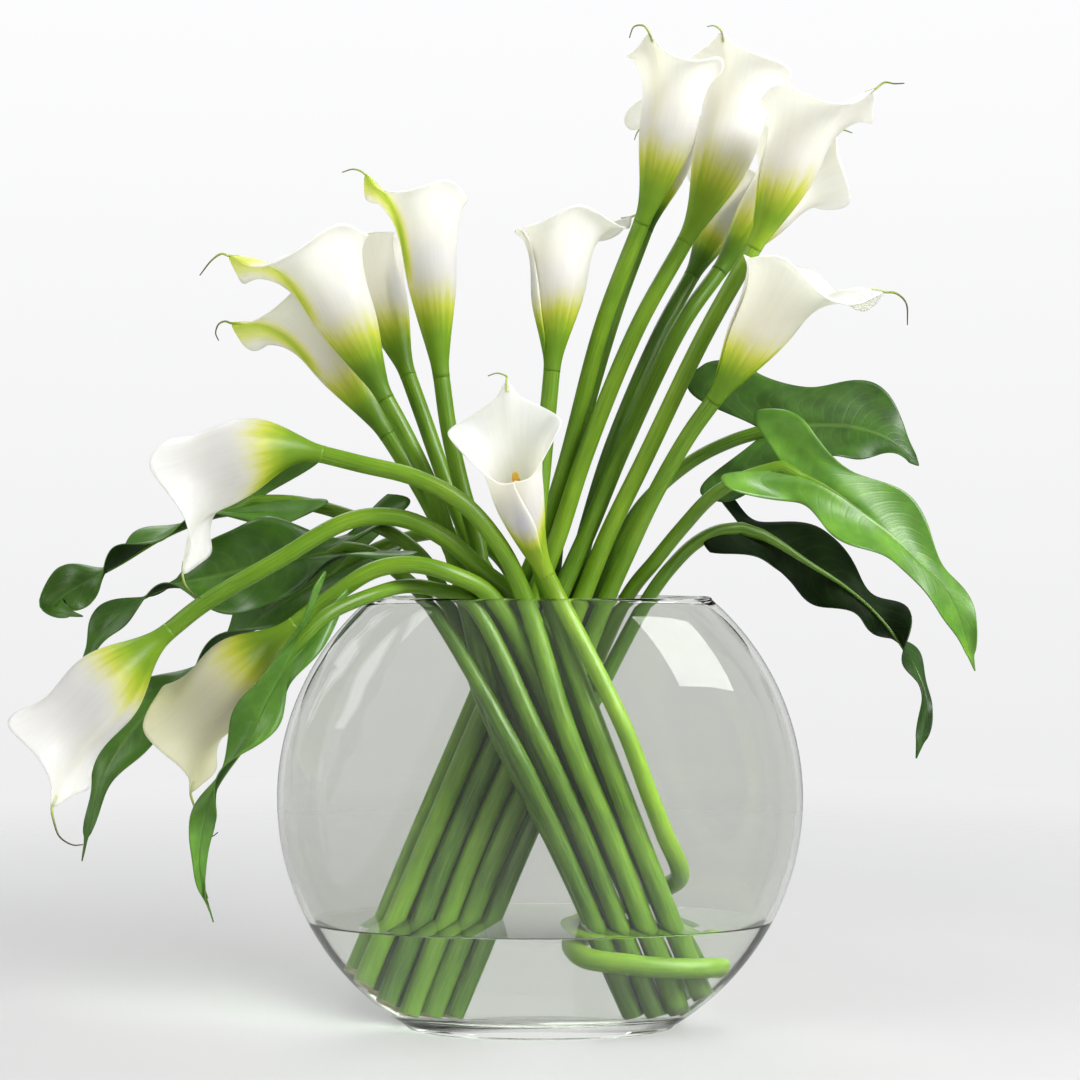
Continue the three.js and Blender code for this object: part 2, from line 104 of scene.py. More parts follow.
# ---------------------------------------------------------------- plants
# A plant's bundle, column and row place its foot; path goes on from the vase's mouth to the neck or
# the blade, and the stem marked wrap has a route of its own. tone: how dark its green is.
# A flower's axis is its upper direction and tip the side of its point. length scales its height and
# open its mouth. flare: how far the rim bends outwards from upright, in degrees, at the front, the
# sides and the tip. dip: how much lower the rim is in front. reach: how far the point runs beyond
# the rim. tail: the thread at its end, as offsets. streak: how green the midrib is near the tip.
# roll and belly: how far the lip turns over and the funnel swells, in degrees. dull: how much greyer
# and yellower its white is. What a row leaves out is as in USUAL_FLOWER.
USUAL_FLOWER = dict(length=1.0, dip=0.12, streak=0.0, roll=28, belly=3, dull=0.0)
FLOWERS = [
    dict(bundle="front", column=3, row=1, path=[
        (-17, -14, 288), (-36, -23, 304), (-62, -31, 327), (-90, -36, 340), (-122, -42, 339),
        (-170, -52, 312), (-215, -60, 285), (-236, -64, 268)],
        axis=(-0.62, -0.1, -0.75), tip=(0.4, -0.75, -0.5), open=1.05,
        flare=(5, 18, 25), reach=20,
        tail=[(2, -3, -8), (6, -5, -17), (14, -5, -22), (20, -4, -22)],
        streak=0.1, tone=0.35, roll=8, belly=14),
    dict(bundle="front", column=2, row=1, path=[
        (-31, -31, 288), (-55, -42, 303), (-80, -46, 310), (-106, -47, 307), (-132, -50, 291),
        (-158, -54, 271)],
        axis=(-0.7, 0.25, -0.67), tip=(0.6, -0.35, -0.7), open=0.98,
        flare=(8, 14, 28), dip=0.15, reach=16,
        tail=[(3, 2, -12), (6, 4, -24), (12, 4, -29), (17, 3, -26)],
        streak=0.1, tone=0.3, dull=1.0, roll=8, belly=16),
    dict(bundle="front", column=2, row=0, path=[
        (-10, -33, 288), (-26, -42, 322), (-50, -50, 350), (-80, -53, 366), (-116, -54, 375),
        (-140, -55, 381)],
        axis=(-0.85, -0.05, -0.55), tip=(-0.1, -0.3, -0.95), open=1.1,
        flare=(6, 18, 45), dip=0.15, reach=28, tail=[(2, -2, -6), (6, -3, -11), (12, -3, -15)],
        tone=0.3, roll=10, belly=12),
    dict(bundle="front", column=0, row=1, path=[
        (-50, -13, 288), (-60, -15, 325), (-72, -17, 360), (-88, -20, 394), (-102, -22, 420)],
        axis=(-0.38, -0.12, 0.92), tip=(-0.85, -0.5, -0.1), length=1.08, open=1.05,
        flare=(12, 28, 62), reach=18, tail=[(-4, -2, 1), (-10, -3, -3), (-18, -3, -13)],
        streak=0.8, tone=0.5),
    dict(bundle="front", column=2, row=2, path=[
        (-28, 6, 288), (-46, 15, 322), (-62, 20, 360), (-80, 28, 410), (-91, 34, 440)],
        axis=(-0.28, 0.3, 0.92), tip=(-0.6, 0.7, 0), open=0.95,
        flare=(25, 45, 80), reach=20, tail=[(-4, 6, -2), (-6, 12, -8)],
        streak=0.2, tone=0.4),
    dict(bundle="front", column=1, row=2, path=[
        (-47, 2, 288), (-62, 0, 325), (-76, 1, 353), (-92, 4, 380), (-103, 7, 397)],
        axis=(-0.55, 0.15, 0.82), tip=(-0.8, -0.5, -0.3), length=1.05, open=0.95,
        flare=(14, 28, 60), reach=14,
        tail=[(-4, -2, 1), (-8, -3, -1), (-10, -3, -7), (-8, -3, -12)],
        streak=0.9, tone=0.5),
    dict(bundle="front", column=1, row=1, path=[
        (-36, -9, 288), (-42, -4, 325), (-52, -3, 360), (-61, -3, 400), (-66, -4, 436)],
        axis=(-0.04, -0.05, 1), tip=(-0.85, -0.5, 0), length=1.18, open=0.72,
        flare=(8, 20, 52), dip=0.1, reach=14, tail=[(-3, -1, 2), (-8, -2, 3), (-15, -2, 1)],
        streak=1.0, tone=0.45),
    dict(bundle="front", column=3, row=0, path=[
        (6, -17, 288), (-2, -10, 322), (2, -4, 375), (8, -2, 440)],
        axis=(0.04, 0.05, 1), tip=(0.9, 0.3, 0.1), open=0.88,
        flare=(22, 26, 66), reach=14, tail=[(5, 2, 3), (10, 3, 11)],
        tone=0.35, belly=6),
    dict(bundle="front", wrap=True, path=[(12, -34, 288), (4, -36, 304)],
        axis=(-0.06, -0.4, 0.92), tip=(0, 0.9, 0.3), open=0.84,
        flare=(4, 44, 20), dip=0.34, reach=16, tail=[(0, 2, 3), (-6, 0, 5), (-12, -2, 3)],
        tone=0.1, roll=10),
    dict(bundle="back", column=0, row=1, path=[
        (-14, 31, 288), (1, 27, 325), (17, 22, 375), (42, 8, 470), (68, -6, 538)],
        axis=(0.08, -0.2, 0.98), tip=(-0.5, -0.85, 0), length=1.05, open=0.8,
        flare=(10, 20, 45), reach=14, tail=[(-4, -3, 4), (-10, -4, 3), (-13, -4, -4)],
        streak=0.15, tone=0.3, belly=7),
    dict(bundle="back", column=0, row=0, path=[
        (-4, 17, 288), (11, 14, 325), (31, 10, 385), (66, 10, 470), (98, 12, 528)],
        axis=(0.2, 0.14, 0.97), tip=(-0.5, -0.85, 0), length=1.2, open=0.82,
        flare=(10, 18, 45), reach=12, tail=[(-5, -3, 3), (-10, -5, 2)],
        streak=0.1, tone=0.25, belly=7),
    dict(bundle="back", column=2, row=0, path=[
        (29, 16, 288), (46, 10, 330), (70, 2, 380), (108, -16, 460), (140, -32, 518)],
        axis=(0.2, -0.1, 0.97), tip=(0.75, -0.65, 0.2), length=0.98, open=0.94,
        flare=(18, 32, 62), reach=16, tail=[(6, -1, 4), (12, -2, 3), (18, -3, 3)],
        tone=0.25, belly=5),
    dict(bundle="back", column=1, row=0, path=[
        (13, 16, 288), (34, 18, 335), (57, 22, 390), (98, 30, 475), (124, 38, 512)],
        axis=(0.62, 0.1, 0.76), tip=(0.3, -0.9, 0.2), length=0.95, open=1.05,
        flare=(30, 42, 42), reach=14, tail=[(5, -1, 2), (11, -2, 0)],
        streak=0.1, tone=0.55, roll=12),
    dict(bundle="back", column=2, row=1, path=[
        (21, 32, 288), (33, 37, 335), (50, 46, 390), (84, 64, 470), (108, 76, 514)],
        axis=(0.4, 0.3, 0.86), tip=(-0.3, 0.9, 0), length=0.85, open=0.9,
        flare=(25, 45, 70), reach=18, tail=[(-2, 5, 2), (-3, 9, -3)],
        streak=0.2, tone=0.75),
    dict(bundle="back", column=3, row=0, path=[
        (46, 15, 288), (60, 8, 320), (76, -3, 355), (98, -20, 395), (114, -32, 418)],
        axis=(0.44, -0.2, 0.88), tip=(0.9, -0.35, -0.2), length=0.98, open=1.05,
        flare=(18, 26, 66), reach=20, tail=[(7, -1, -1), (13, -2, -7), (14, -2, -21)],
        tone=0.4),
    dict(bundle="back", column=1, row=1, path=[
        (5, 34, 288), (12, 45, 335), (26, 50, 395), (52, 56, 485), (74, 60, 545)],
        axis=(0.3, 0.35, 0.88), tip=(-0.6, 0.7, 0), length=0.85, open=0.9,
        flare=(25, 40, 75), reach=18, tail=[(-3, 4, -3), (-5, 6, -8)],
        streak=0.2, tone=0.65),
]

# blade lists the midrib from the petiole to the tip, face the way the upper side looks at the base
# and at the tip, and width is half the widest. lobe: how far its two lobes run back.
# wave: height, count and start of the margin's waves. scallop: depth, count and start of its bumps.
# twist: how far the blade turns to and fro about its midrib, in degrees, how often, and the start.
LEAVES = [
    dict(bundle="front", column=0, row=2, path=[
        (-64, 1, 288), (-78, 10, 312), (-100, 20, 330), (-135, 30, 344), (-168, 38, 352),
        (-198, 42, 353)],
        blade=[(-226, 42, 345), (-258, 40, 331), (-290, 34, 310), (-318, 26, 293), (-331, 14, 280),
               (-306, -2, 275)],
        face=((0.1, -0.55, 0.83), (-0.5, -0.5, 0.7)), width=25, lobe=0.4,
        wave=(11, 2.7, 0.9), scallop=(0.3, 2.6, 0.0), twist=(40, 1.5, 0.1), tone=0.5),
    dict(bundle="front", column=0, row=0, path=[
        (-77, -13, 288), (-94, -10, 304), (-112, -5, 317), (-130, 0, 321)],
        blade=[(-167, 0, 313), (-213, -6, 303), (-256, -10, 292), (-286, -14, 270),
               (-304, -18, 241)],
        face=((0.1, -0.7, 0.7), (-0.3, -0.75, 0.5)), width=28, lobe=0.35,
        wave=(13, 2.4, 0.2), scallop=(0.2, 2.5, 0.0), twist=(48, 1.6, 0.6), tone=0.6),
    dict(bundle="front", column=3, row=2, path=[
        (-12, 2, 288), (-24, 20, 310), (-42, 35, 325), (-70, 46, 331), (-104, 50, 324),
        (-130, 52, 312)],
        blade=[(-173, 54, 287), (-221, 50, 250), (-266, 38, 212), (-296, 20, 168),
               (-308, 4, 110)],
        face=((-0.3, -0.5, 0.8), (-0.5, -0.8, 0.2)), width=31, lobe=0.2,
        wave=(10, 2.6, 0.5), scallop=(0.25, 2.6, 0.1), twist=(30, 1.8, 0.0), tone=0.5),
    dict(bundle="front", column=1, row=0, path=[
        (-47, -29, 286), (-66, -27, 293), (-86, -31, 296), (-110, -54, 290), (-134, -72, 279),
        (-148, -80, 266)],
        blade=[(-162, -87, 240), (-180, -89, 206), (-204, -86, 168), (-214, -80, 124),
               (-206, -74, 85)],
        face=((0.75, -0.55, 0.35), (-0.75, -0.65, 0.1)), width=11, lobe=0.3,
        wave=(8, 2.6, 0.0), scallop=(0.4, 2.8, 0.0), twist=(55, 1.4, 0.2), tone=0.4),
    dict(bundle="back", column=3, row=1, path=[
        (38, 31, 288), (55, 32, 325), (72, 31, 352), (104, 26, 380), (132, 22, 394),
        (152, 20, 400)],
        blade=[(180, 16, 404), (208, 10, 403), (234, 4, 394), (254, 0, 376)],
        face=((-0.1, -0.88, 0.45), (0.2, -0.8, 0.55)), width=42, lobe=0.62,
        wave=(10, 2.0, 0.3), scallop=(0.24, 1.65, 0.97), twist=(12, 1.5, 0.3), tone=0.66),
    dict(bundle="back", column=4, row=1, path=[
        (60, 24, 288), (78, 12, 312), (96, 0, 335), (114, -12, 355), (132, -22, 366),
        (158, -32, 374)],
        blade=[(184, -38, 362), (212, -40, 342), (240, -38, 318), (268, -32, 288),
               (286, -24, 240)],
        face=((-0.25, -0.85, 0.45), (0.5, -0.8, 0.3)), width=26, lobe=0.24,
        wave=(9, 2.6, 0.1), scallop=(0.3, 2.6, 0.97), twist=(22, 1.6, 0.4), tone=0.32),
    # Its underside shows near its base; tone 0.8 takes that side close to black as painted shade.
    dict(bundle="back", column=4, row=0, path=[
        (74, 10, 288), (90, 14, 309), (106, 20, 324), (122, 26, 332), (138, 30, 334)],
        blade=[(171, 36, 319), (212, 36, 292), (246, 30, 258), (263, 22, 217), (255, 14, 178)],
        face=((-0.3, 0.85, -0.35), (0.7, -0.6, 0.3)), width=20, lobe=0.15,
        wave=(9, 2.8, 0.7), scallop=(0.3, 3.0, 0.1), twist=(45, 1.6, 0.4), tone=0.8),
]

# Each bundle is a grid of stems, given at three levels: x and y, each as the first stem's value and
# what a column and a row add to it, and the height, which at the feet follows the vase's wall.
AT_FOOT = None
BUNDLES = {
    "front": [((60, 14.5, 0), (-16, 2, 15), AT_FOOT),
              ((12, 17.5, -3), (-29, 0, 16), 130),
              ((-22, 20, -4), (-35, 0, 18.5), 200)],
    "back": [((-113, 14.5, -3), (-2, 0, 15), AT_FOOT),
             ((-72, 16.5, -8), (15, 0, 16), 130),
             ((-42, 17.5, -8), (19, 0, 16), 200)],
}

# The stem that is wound round the foot of the front bundle, from its cut end up to the mouth.
WRAPPING_STEM = [
    (116, -8, 46), (110, -21, 47), (96, -29, 48), (76, -36, 50), (54, -37, 53), (31, -31, 56),
    (22, -10, 60), (22, 12, 64), (38, 27, 69), (60, 30, 77), (82, 28, 87), (93, 8, 98),
    (91, -14, 112), (82, -30, 132), (71, -38, 160), (56, -43, 200), (41, -41, 232)]


# ---------------------------------------------------------------- curves and meshes
def unit(v):
    return v / np.linalg.norm(v, axis=-1, keepdims=True)


def smooth(t, low=0.0, high=1.0):
    """From 0 at low to 1 at high, level at both ends."""
    t = np.clip((t - low) / (high - low), 0, 1)
    return t * t * (3 - 2 * t)


def bell(x, width=1.0):
    return np.exp(-((x / width) ** 2))


def curve_through(points, count):
    """Evenly spaced points on the centripetal Catmull-Rom curve through the given points."""
    p = np.array(points, float)
    p = np.vstack([2 * p[0] - p[1], p, 2 * p[-1] - p[-2]])
    t = np.linspace(0, 1, 24, endpoint=False)[:, None]
    dense = []
    for a, b, c, d in zip(p, p[1:], p[2:], p[3:]):
        da, db, dc = (np.linalg.norm(e) ** 0.5 for e in (b - a, c - b, d - c))
        start = ((b - a) / da - (c - a) / (da + db) + (c - b) / db) * db
        end = ((c - b) / db - (d - b) / (db + dc) + (d - c) / dc) * db
        dense.append(b * (2 * t**3 - 3 * t**2 + 1) + start * (t**3 - 2 * t**2 + t)
                     + c * (3 * t**2 - 2 * t**3) + end * (t**3 - t**2))
    dense.append(p[-2][None])
    return evenly(np.vstack(dense), count)


def evenly(points, count):
    """The same line with its points evenly spaced."""
    length = np.concatenate([[0], np.cumsum(np.linalg.norm(np.diff(points, axis=0), axis=1))])
    wanted = np.linspace(0, length[-1], count)
    return np.stack([np.interp(wanted, length, points[:, k]) for k in range(3)], axis=1)


def read_off(values, place):
    """Rows of three values, read off at row numbers that needn't be whole."""
    steps = np.arange(len(values))
    return np.stack([np.interp(place, steps, values[:, k]) for k in range(3)], axis=-1)


def frames_along(points):
    """The two directions across a line at each of its points, turning as little as they can."""
    tangents = unit(np.gradient(points, axis=0))
    seed = np.cross(tangents[0], (0.3, 1.0, 0.2))
    normals = []
    for tangent in tangents:
        seed = unit(seed - tangent * np.dot(seed, tangent))
        normals.append(seed)
    normals = np.array(normals)
    return normals, np.cross(tangents, normals)


def grid_faces(rows, cols, wrap=False):
    """Quads between the rows of a grid of vertices; wrap joins each row's last to its first."""
    faces = []
    for row in range(rows - 1):
        here, above = row * cols, (row + 1) * cols
        for col in range(cols if wrap else cols - 1):
            after = (col + 1) % cols
            faces.append((here + col, here + after, above + after, above + col))
    return faces


def ring_ends(rows, cols):
    """The faces that close the first and the last ring of a wrapped grid."""
    last = (rows - 1) * cols
    return [tuple(range(cols))[::-1], tuple(range(last, last + cols))]


class Shape:
    """Vertices with a uv each, and faces with a material number each, gathered from parts."""

    def __init__(self):
        self.points = []
        self.uvs = []
        self.faces = []
        self.slots = []
        self.count = 0

    def add(self, points, uvs, faces, slot=0):
        self.points.append(np.asarray(points, float).reshape(-1, 3))
        self.uvs.append(np.asarray(uvs, float).reshape(-1, 2))
        self.faces += [tuple(self.count + i for i in face) for face in faces]
        self.slots += [slot] * len(faces)
        self.count += len(self.points[-1])

    def add_tube(self, line, radii, sides=20, slot=0, end_slot=None):
        """A closed tube along a line, with its two ends as discs of end_slot."""
        normals, binormals = frames_along(line)
        angles = np.linspace(0, 2 * math.pi, sides, endpoint=False)
        across = np.cos(angles)[None, :, None] * normals[:, None]
        deep = np.sin(angles)[None, :, None] * binormals[:, None]
        radii = np.broadcast_to(radii, len(line))
        rings = line[:, None] + (across + deep) * radii[:, None, None]
        along = np.concatenate([[0], np.cumsum(np.linalg.norm(np.diff(line, axis=0), axis=1))])
        around = (angles / (2 * math.pi))[None]
        uvs = np.stack(np.broadcast_arrays(around, along[:, None] / 100), axis=-1)
        self.add(rings, uvs, grid_faces(len(line), sides, wrap=True), slot)
        disc = np.stack([np.cos(angles), np.sin(angles)], axis=-1) * 0.5 + 0.5
        face = tuple(range(sides))
        for ring, end in ((rings[0], face[::-1]), (rings[-1], face)):
            self.add(ring, disc, [end], slot if end_slot is None else end_slot)


def new_piece(name, shape, materials, attributes=None, crease=45):
    """A mesh object in metres from a Shape in millimetres; edges sharper than crease stay sharp."""
    mesh = bpy.data.meshes.new(name)
    points = np.vstack(shape.points) * MM
    mesh.from_pydata(points.tolist(), [], shape.faces)
    uvs = np.vstack(shape.uvs)
    layer = mesh.uv_layers.new(name="UVMap")
    corners = np.zeros(len(mesh.loops), int)
    mesh.loops.foreach_get("vertex_index", corners)
    layer.data.foreach_set("uv", uvs[corners].astype(np.float32).ravel())
    for key, values in (attributes or {}).items():
        attribute = mesh.attributes.new(key, "FLOAT", "POINT")
        values = np.broadcast_to(values, len(points)).astype(np.float32)
        attribute.data.foreach_set("value", values)
    for material in materials:
        mesh.materials.append(material)
    mesh.polygons.foreach_set("material_index", shape.slots)
    mesh.polygons.foreach_set("use_smooth", [True] * len(mesh.polygons))
    mesh.update()
    mesh.set_sharp_from_angle(angle=math.radians(crease))
    piece = bpy.data.objects.new(name, mesh)
    bpy.context.scene.collection.objects.link(piece)
    return piece


def thicken(piece, thickness, back_slot=0):
    """Gives a sheet its thickness; back_slot is how many slots further its back's material is."""
    solid = piece.modifiers.new("thickness", "SOLIDIFY")
    solid.thickness = thickness * MM
    solid.offset = 0.0
    solid.material_offset = back_slot
    solid.material_offset_rim = 0
    apply_modifiers(piece)


def apply_modifiers(piece):
    depsgraph = bpy.context.evaluated_depsgraph_get()
    mesh = bpy.data.meshes.new_from_object(piece.evaluated_get(depsgraph))
    piece.modifiers.clear()
    piece.data = mesh


def join(piece, other):
    """Makes the other mesh part of the piece."""
    both = [piece, other]
    with bpy.context.temp_override(active_object=piece, object=piece, selected_objects=both,
                                   selected_editable_objects=both):
        bpy.ops.object.join()


def stands_for(piece, nodes):
    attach(piece, "root")
    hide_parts(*nodes)


# ---------------------------------------------------------------- materials
class Nodes:
    """Short calls for the nodes of one material, or of the world."""

    def __init__(self, owner, shader="Principled BSDF"):
        owner.use_nodes = True
        self.owner = owner
        self.tree = owner.node_tree
        self.shader = self.tree.nodes[shader]

    def new(self, kind, **settings):
        node = self.tree.nodes.new(kind)
        for key, value in settings.items():
            setattr(node, key, value)
        return node

    def link(self, source, target):
        self.tree.links.new(source, target)

    def put(self, target, value):
        if isinstance(value, bpy.types.NodeSocket):
            self.link(value, target)
        else:
            target.default_value = value

    def math(self, operation, *values):
        node = self.new("ShaderNodeMath", operation=operation)
        for socket, value in zip(node.inputs, values):
            self.put(socket, value)
        return node.outputs[0]

    def clamp(self, value):
        return self.math("MINIMUM", self.math("MAXIMUM", value, 0.0), 1.0)

    def attribute(self, name):
        return self.new("ShaderNodeAttribute", attribute_name=name).outputs["Fac"]

    def split(self, vector):
        node = self.new("ShaderNodeSeparateXYZ")
        self.link(vector, node.inputs[0])
        return node.outputs[0], node.outputs[1], node.outputs[2]

    def uv(self):
        return self.split(self.new("ShaderNodeUVMap", uv_map="UVMap").outputs[0])[:2]

    def place(self):
        return self.new("ShaderNodeTexCoord").outputs["Object"]

    def noise(self, vector, scale, detail=4.0, roughness=0.5):
        node = self.new("ShaderNodeTexNoise")
        self.put(node.inputs["Vector"], vector)
        node.inputs["Scale"].default_value = scale
        node.inputs["Detail"].default_value = detail
        node.inputs["Roughness"].default_value = roughness
        return node.outputs["Fac"]

    def fibres(self, around, along, detail, roughness=0.5):
        """Noise drawn out into streaks: how fine it is across them and how short along them."""
        u, v = self.uv()
        stretched = self.new("ShaderNodeCombineXYZ")
        self.put(stretched.inputs[0], self.math("MULTIPLY", u, around))
        self.put(stretched.inputs[1], self.math("MULTIPLY", v, along))
        return self.noise(stretched.outputs[0], 1.0, detail, roughness)

    def cells(self, scale):
        """The distance from the middle of small cells."""
        node = self.new("ShaderNodeTexVoronoi")
        node.inputs["Scale"].default_value = scale
        self.link(self.place(), node.inputs["Vector"])
        return node.outputs["Distance"]

    def map_range(self, value, low, high):
        node = self.new("ShaderNodeMapRange")
        self.link(value, node.inputs["Value"])
        node.inputs["From Min"].default_value = low
        node.inputs["From Max"].default_value = high
        return node.outputs[0]

    def ramp(self, factor, stops):
        node = self.new("ShaderNodeValToRGB")
        self.put(node.inputs[0], factor)
        elements = node.color_ramp.elements
        while len(elements) < len(stops):
            elements.new(0.5)
        for element, (position, color) in zip(elements, stops):
            element.position = position
            element.color = rgba(color)
        return node.outputs["Color"]

    def mix(self, factor, a, b, blend="MIX"):
        node = self.new("ShaderNodeMix", data_type="RGBA", blend_type=blend)
        self.put(node.inputs[0], factor)
        self.put(node.inputs[6], a if isinstance(a, bpy.types.NodeSocket) else rgba(a))
        self.put(node.inputs[7], b if isinstance(b, bpy.types.NodeSocket) else rgba(b))
        return node.outputs[2]

    def mix_levels(self, factor, a, b):
        node = self.new("ShaderNodeMix")
        for socket, value in zip((node.inputs[0], node.inputs[2], node.inputs[3]), (factor, a, b)):
            self.put(socket, value)
        return node.outputs[0]

    def bump(self, height, strength, distance):
        node = self.new("ShaderNodeBump")
        self.put(node.inputs["Height"], height)
        node.inputs["Strength"].default_value = strength
        node.inputs["Distance"].default_value = distance
        self.link(node.outputs[0], self.shader.inputs["Normal"])

    def set(self, **values):
        for key, value in values.items():
            self.put(self.shader.inputs[key.replace("_", " ")], value)

    def turn_clear(self, factor, color=(1.0, 1.0, 1.0)):
        """Where the factor is 1 the surface is only a clear tint."""
        clear = self.new("ShaderNodeBsdfTransparent")
        clear.inputs[0].default_value = rgba(color)
        mixer = self.new("ShaderNodeMixShader")
        self.link(factor, mixer.inputs[0])
        self.link(self.shader.outputs[0], mixer.inputs[1])
        self.link(clear.outputs[0], mixer.inputs[2])
        self.link(mixer.outputs[0], self.tree.nodes["Material Output"].inputs["Surface"])


def new_material(name):
    return Nodes(bpy.data.materials.new(name))


def rgba(color):
    """A colour given as a hex number in sRGB, or as three linear numbers, in linear RGBA."""
    if not isinstance(color, int):
        return (*color, 1.0)
    channels = [((color >> shift) & 255) / 255 for shift in (16, 8, 0)]
    linear = [c / 12.92 if c <= 0.04045 else ((c + 0.055) / 1.055) ** 2.4 for c in channels]
    return (*linear, 1.0)


STEM_TONES = [(0.0, 0x9CBE2A), (0.35, 0x6F9A1E), (0.75, 0x365C10), (1.0, 0x1C3309)]
SIDE_VEINS = 19


def green_shade(n):
    """How dark the green skin is: the plant's own tone, in paler and darker patches."""
    patches = n.noise(n.place(), 22.0, 3.0)
    return n.math("ADD", n.attribute("tone"), n.math("MULTIPLY_ADD", patches, 0.7, -0.35))


def stem_material():
    """Smooth green skin with fine lengthwise fibres and a slight waxy sheen; painted shade low in the
    vase.
    """
    n = new_material("stem_skin")
    fibres = n.fibres(46.0, 3.0, 5.0)
    # inside: painted shade, darkening the skin from just above the vase's mouth, fully so below 0.2 m
    inside = n.clamp(n.math("MULTIPLY_ADD", n.split(n.place())[2], -8.0, 2.6))
    base = n.ramp(n.math("MULTIPLY_ADD", inside, 0.2, green_shade(n)), STEM_TONES)
    streaks = n.ramp(fibres, [(0.3, 0x36590E), (0.52, 0x6C9620), (0.72, 0xA5C348)])
    n.set(Base_Color=n.mix(0.3, base, streaks), Roughness=n.math("MULTIPLY_ADD", fibres, 0.18, 0.24))
    n.set(Specular_IOR_Level=0.4, Subsurface_Weight=0.12, Subsurface_Scale=0.004)
    n.set(Subsurface_Radius=(0.5, 1.0, 0.2))
    n.bump(fibres, 0.35, 0.0006)
    return n.owner


def cut_material():
    """The cut end of a stem: pale flesh full of pores, browned in blotches."""
    n = new_material("stem_cut")
    pores = n.cells(900.0)
    blotches = n.noise(n.place(), 160.0, 3.0)
    flesh = n.ramp(blotches, [(0.3, 0x8A7444), (0.55, 0xBDB477), (0.8, 0xD5D8A2)])
    holes = n.ramp(pores, [(0.1, 0x5F5A2E), (0.35, 0xFFFFFF)])
    n.set(Base_Color=n.mix(0.6, flesh, holes, "MULTIPLY"), Roughness=0.75)
    n.bump(pores, 0.5, 0.0005)
    return n.owner


def spathe_material():
    """Ivory, waxy and finely ribbed; green at the base and down the midrib in an uneven edge."""
    n = new_material("spathe_skin")
    ribs = n.fibres(70.0, 2.2, 5.0, 0.6)
    green = n.attribute("green")
    edge = n.math("MULTIPLY", green, n.math("SUBTRACT", 1.0, green))
    uneven = n.math("MULTIPLY", n.math("SUBTRACT", n.fibres(26.0, 2.5, 4.0), 0.5), 0.55)
    amount = n.math("ADD", green, n.math("MULTIPLY", n.math("MULTIPLY", uneven, edge), 4.0))
    skin = n.ramp(amount, [(0.0, 0xFCFAEA), (0.12, 0xFAF8D8), (0.3, 0xF1F2A0), (0.5, 0xD3E048),
                           (0.72, 0x9ABE24), (0.95, 0x7DA520)])
    dull = n.ramp(n.attribute("dull"), [(0.0, 0xFFFFFF), (1.0, 0xDAD8B8)])
    skin = n.mix(1.0, skin, dull, "MULTIPLY")
    stemlike = n.clamp(n.math("MULTIPLY_ADD", amount, 5.0, -4.0))
    skin = n.mix(stemlike, skin, n.ramp(green_shade(n), STEM_TONES))
    veil = n.ramp(n.noise(n.place(), 30.0, 3.0), [(0.35, 0xF7F6EE), (0.65, 0xFFFFFF)])
    fine = n.ramp(ribs, [(0.3, 0xF2F2E6), (0.6, 0xFFFFFF)])
    color = n.mix(0.35, n.mix(0.4, skin, veil, "MULTIPLY"), fine, "MULTIPLY")
    n.set(Base_Color=color, Roughness=n.math("MULTIPLY_ADD", ribs, 0.15, 0.36))
    n.set(Subsurface_Weight=n.math("MULTIPLY_ADD", stemlike, -0.6, 0.8), Subsurface_Scale=0.01)
    n.set(Subsurface_Radius=(1.0, 1.0, 0.7), Specular_IOR_Level=0.3)
    n.bump(ribs, 0.25, 0.0005)
    return n.owner


def tail_material():
    """The dried thread at a spathe's tip: green, browning to its end."""
    n = new_material("spathe_tail")
    grain = n.noise(n.place(), 300.0, 3.0)
    where = n.math("ADD", n.math("MULTIPLY", n.uv()[1], 3.0), n.math("MULTIPLY", grain, 0.3))
    color = n.ramp(where, [(0.1, 0xD9E59A), (0.45, 0xA9BE55), (0.8, 0x6A6E33), (1.0, 0x4A4325)])
    n.set(Base_Color=color, Roughness=0.5)
    n.bump(grain, 0.4, 0.0003)
    return n.owner


def spadix_material():
    """Tightly packed tiny florets: warm yellow with darker gaps and powdery pollen."""
    n = new_material("spadix_pollen")
    florets = n.cells(950.0)
    dust = n.noise(n.place(), 400.0, 4.0)
    warm = n.ramp(dust, [(0.3, 0xDDA21C), (0.55, 0xF0C63C), (0.8, 0xF9E27C)])
    gaps = n.ramp(florets, [(0.25, 0xFFFFFF), (0.75, 0xC9962A)])
    n.set(Base_Color=n.mix(0.6, warm, gaps, "MULTIPLY"), Roughness=0.85, Sheen_Weight=0.2)
    n.bump(florets, 0.6, 0.0005)
    return n.owner


